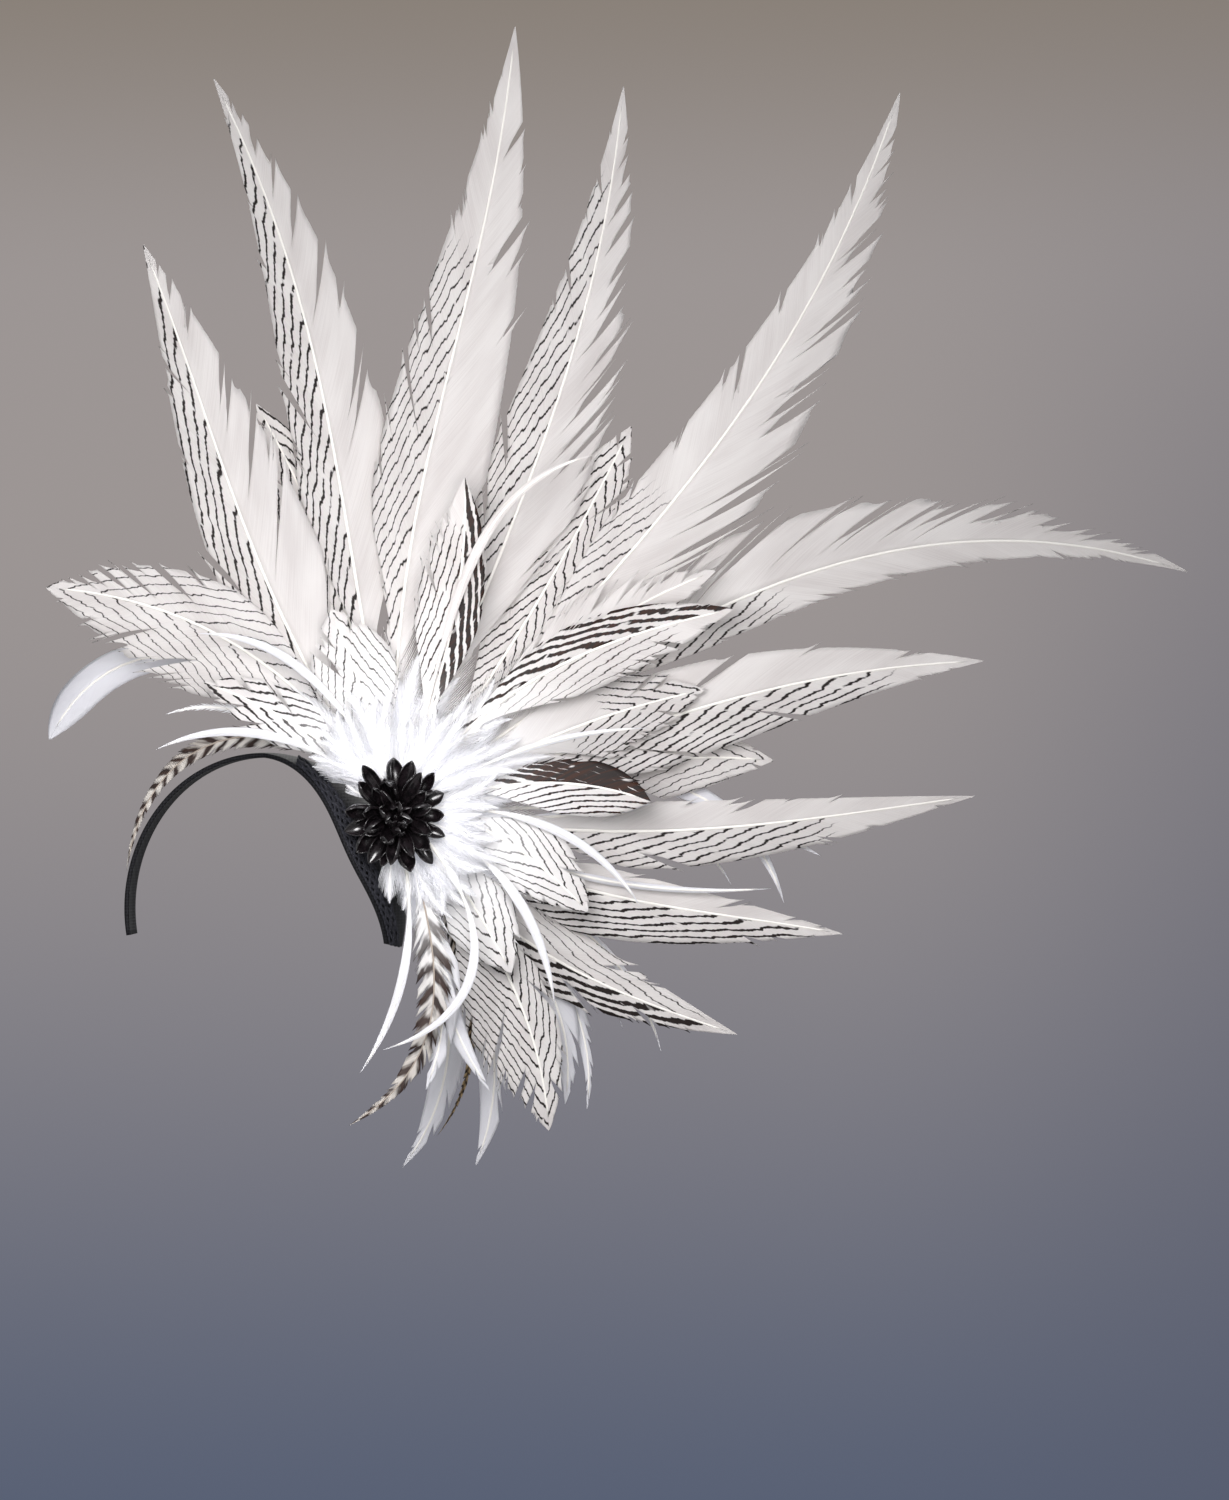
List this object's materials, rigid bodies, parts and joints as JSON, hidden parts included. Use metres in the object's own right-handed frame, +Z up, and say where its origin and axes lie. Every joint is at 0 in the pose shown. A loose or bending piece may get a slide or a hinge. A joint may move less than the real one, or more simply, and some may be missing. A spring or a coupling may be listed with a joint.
{
  "type": "feathered headdress",
  "caption": "Black headband with a braided edge that carries a side fan of barred white tail feathers, curved blades, banded hackles and down round a dark flower.",
  "frame": {"origin": "the point on the crown of the wearer's head where the band's inner face rests", "axes": "+X towards the wearer's left, -Y the way the wearer faces, +Z up"},
  "size_m": [0.6433, 0.1489, 0.6399],
  "materials": {
    "black_cloth": "matt woven",
    "black_braid": "plaited, soft sheen",
    "barred_feather": "white vane with fine dark bars",
    "brown_barred_feather": "white and dark brown bars",
    "white_feather": "smooth white vane",
    "banded_hackle": "brown and cream chevrons",
    "white_down": "soft loose down",
    "black_petal": "glossy moulded petals"
  },
  "bodies": {
    "root": {"headband": "black_cloth", "braid_trim": "black_braid", "fan_core": "black_cloth", "tail_feather_1": "barred_feather", "tail_feather_2": "barred_feather", "tail_feather_3": "barred_feather", "tail_feather_4": "barred_feather", "tail_feather_5": "barred_feather", "tail_feather_6": "barred_feather", "tail_feather_7": "barred_feather", "tail_feather_8": "barred_feather", "tail_feather_9": "barred_feather", "tail_feather_10": "barred_feather", "crest_feather_1": "barred_feather", "crest_feather_2": "barred_feather", "inner_feather_1": "brown_barred_feather", "inner_feather_2": "brown_barred_feather", "inner_feather_3": "brown_barred_feather", "inner_feather_4": "barred_feather", "inner_feather_5": "barred_feather", "inner_feather_6": "barred_feather", "inner_feather_7": "barred_feather", "inner_feather_8": "barred_feather", "inner_feather_9": "barred_feather", "inner_feather_10": "barred_feather", "inner_feather_11": "barred_feather", "inner_feather_12": "white_feather", "blade_1": "white_feather", "blade_2": "white_feather", "blade_3": "white_feather", "blade_4": "white_feather", "blade_5": "white_feather", "blade_6": "white_feather", "blade_7": "white_feather", "blade_8": "white_feather", "blade_9": "white_feather", "blade_10": "white_feather", "blade_11": "white_feather", "blade_12": "white_feather", "blade_13": "white_feather", "blade_14": "white_feather", "blade_15": "white_feather", "blade_16": "white_feather", "blade_17": "white_feather", "rear_blade_1": "white_feather", "rear_blade_2": "white_feather", "rear_blade_3": "white_feather", "rear_blade_4": "white_feather", "rear_blade_5": "white_feather", "hackle_1": "banded_hackle", "hackle_2": "banded_hackle", "hackle_3": "banded_hackle", "down_ruff_rear": "white_down", "down_ruff_front": "white_down", "flower_petals_outer": "black_petal", "flower_petals_middle": "black_petal", "flower_petals_inner": "black_petal", "flower_bud": "black_petal"}
  },
  "joints": []
}
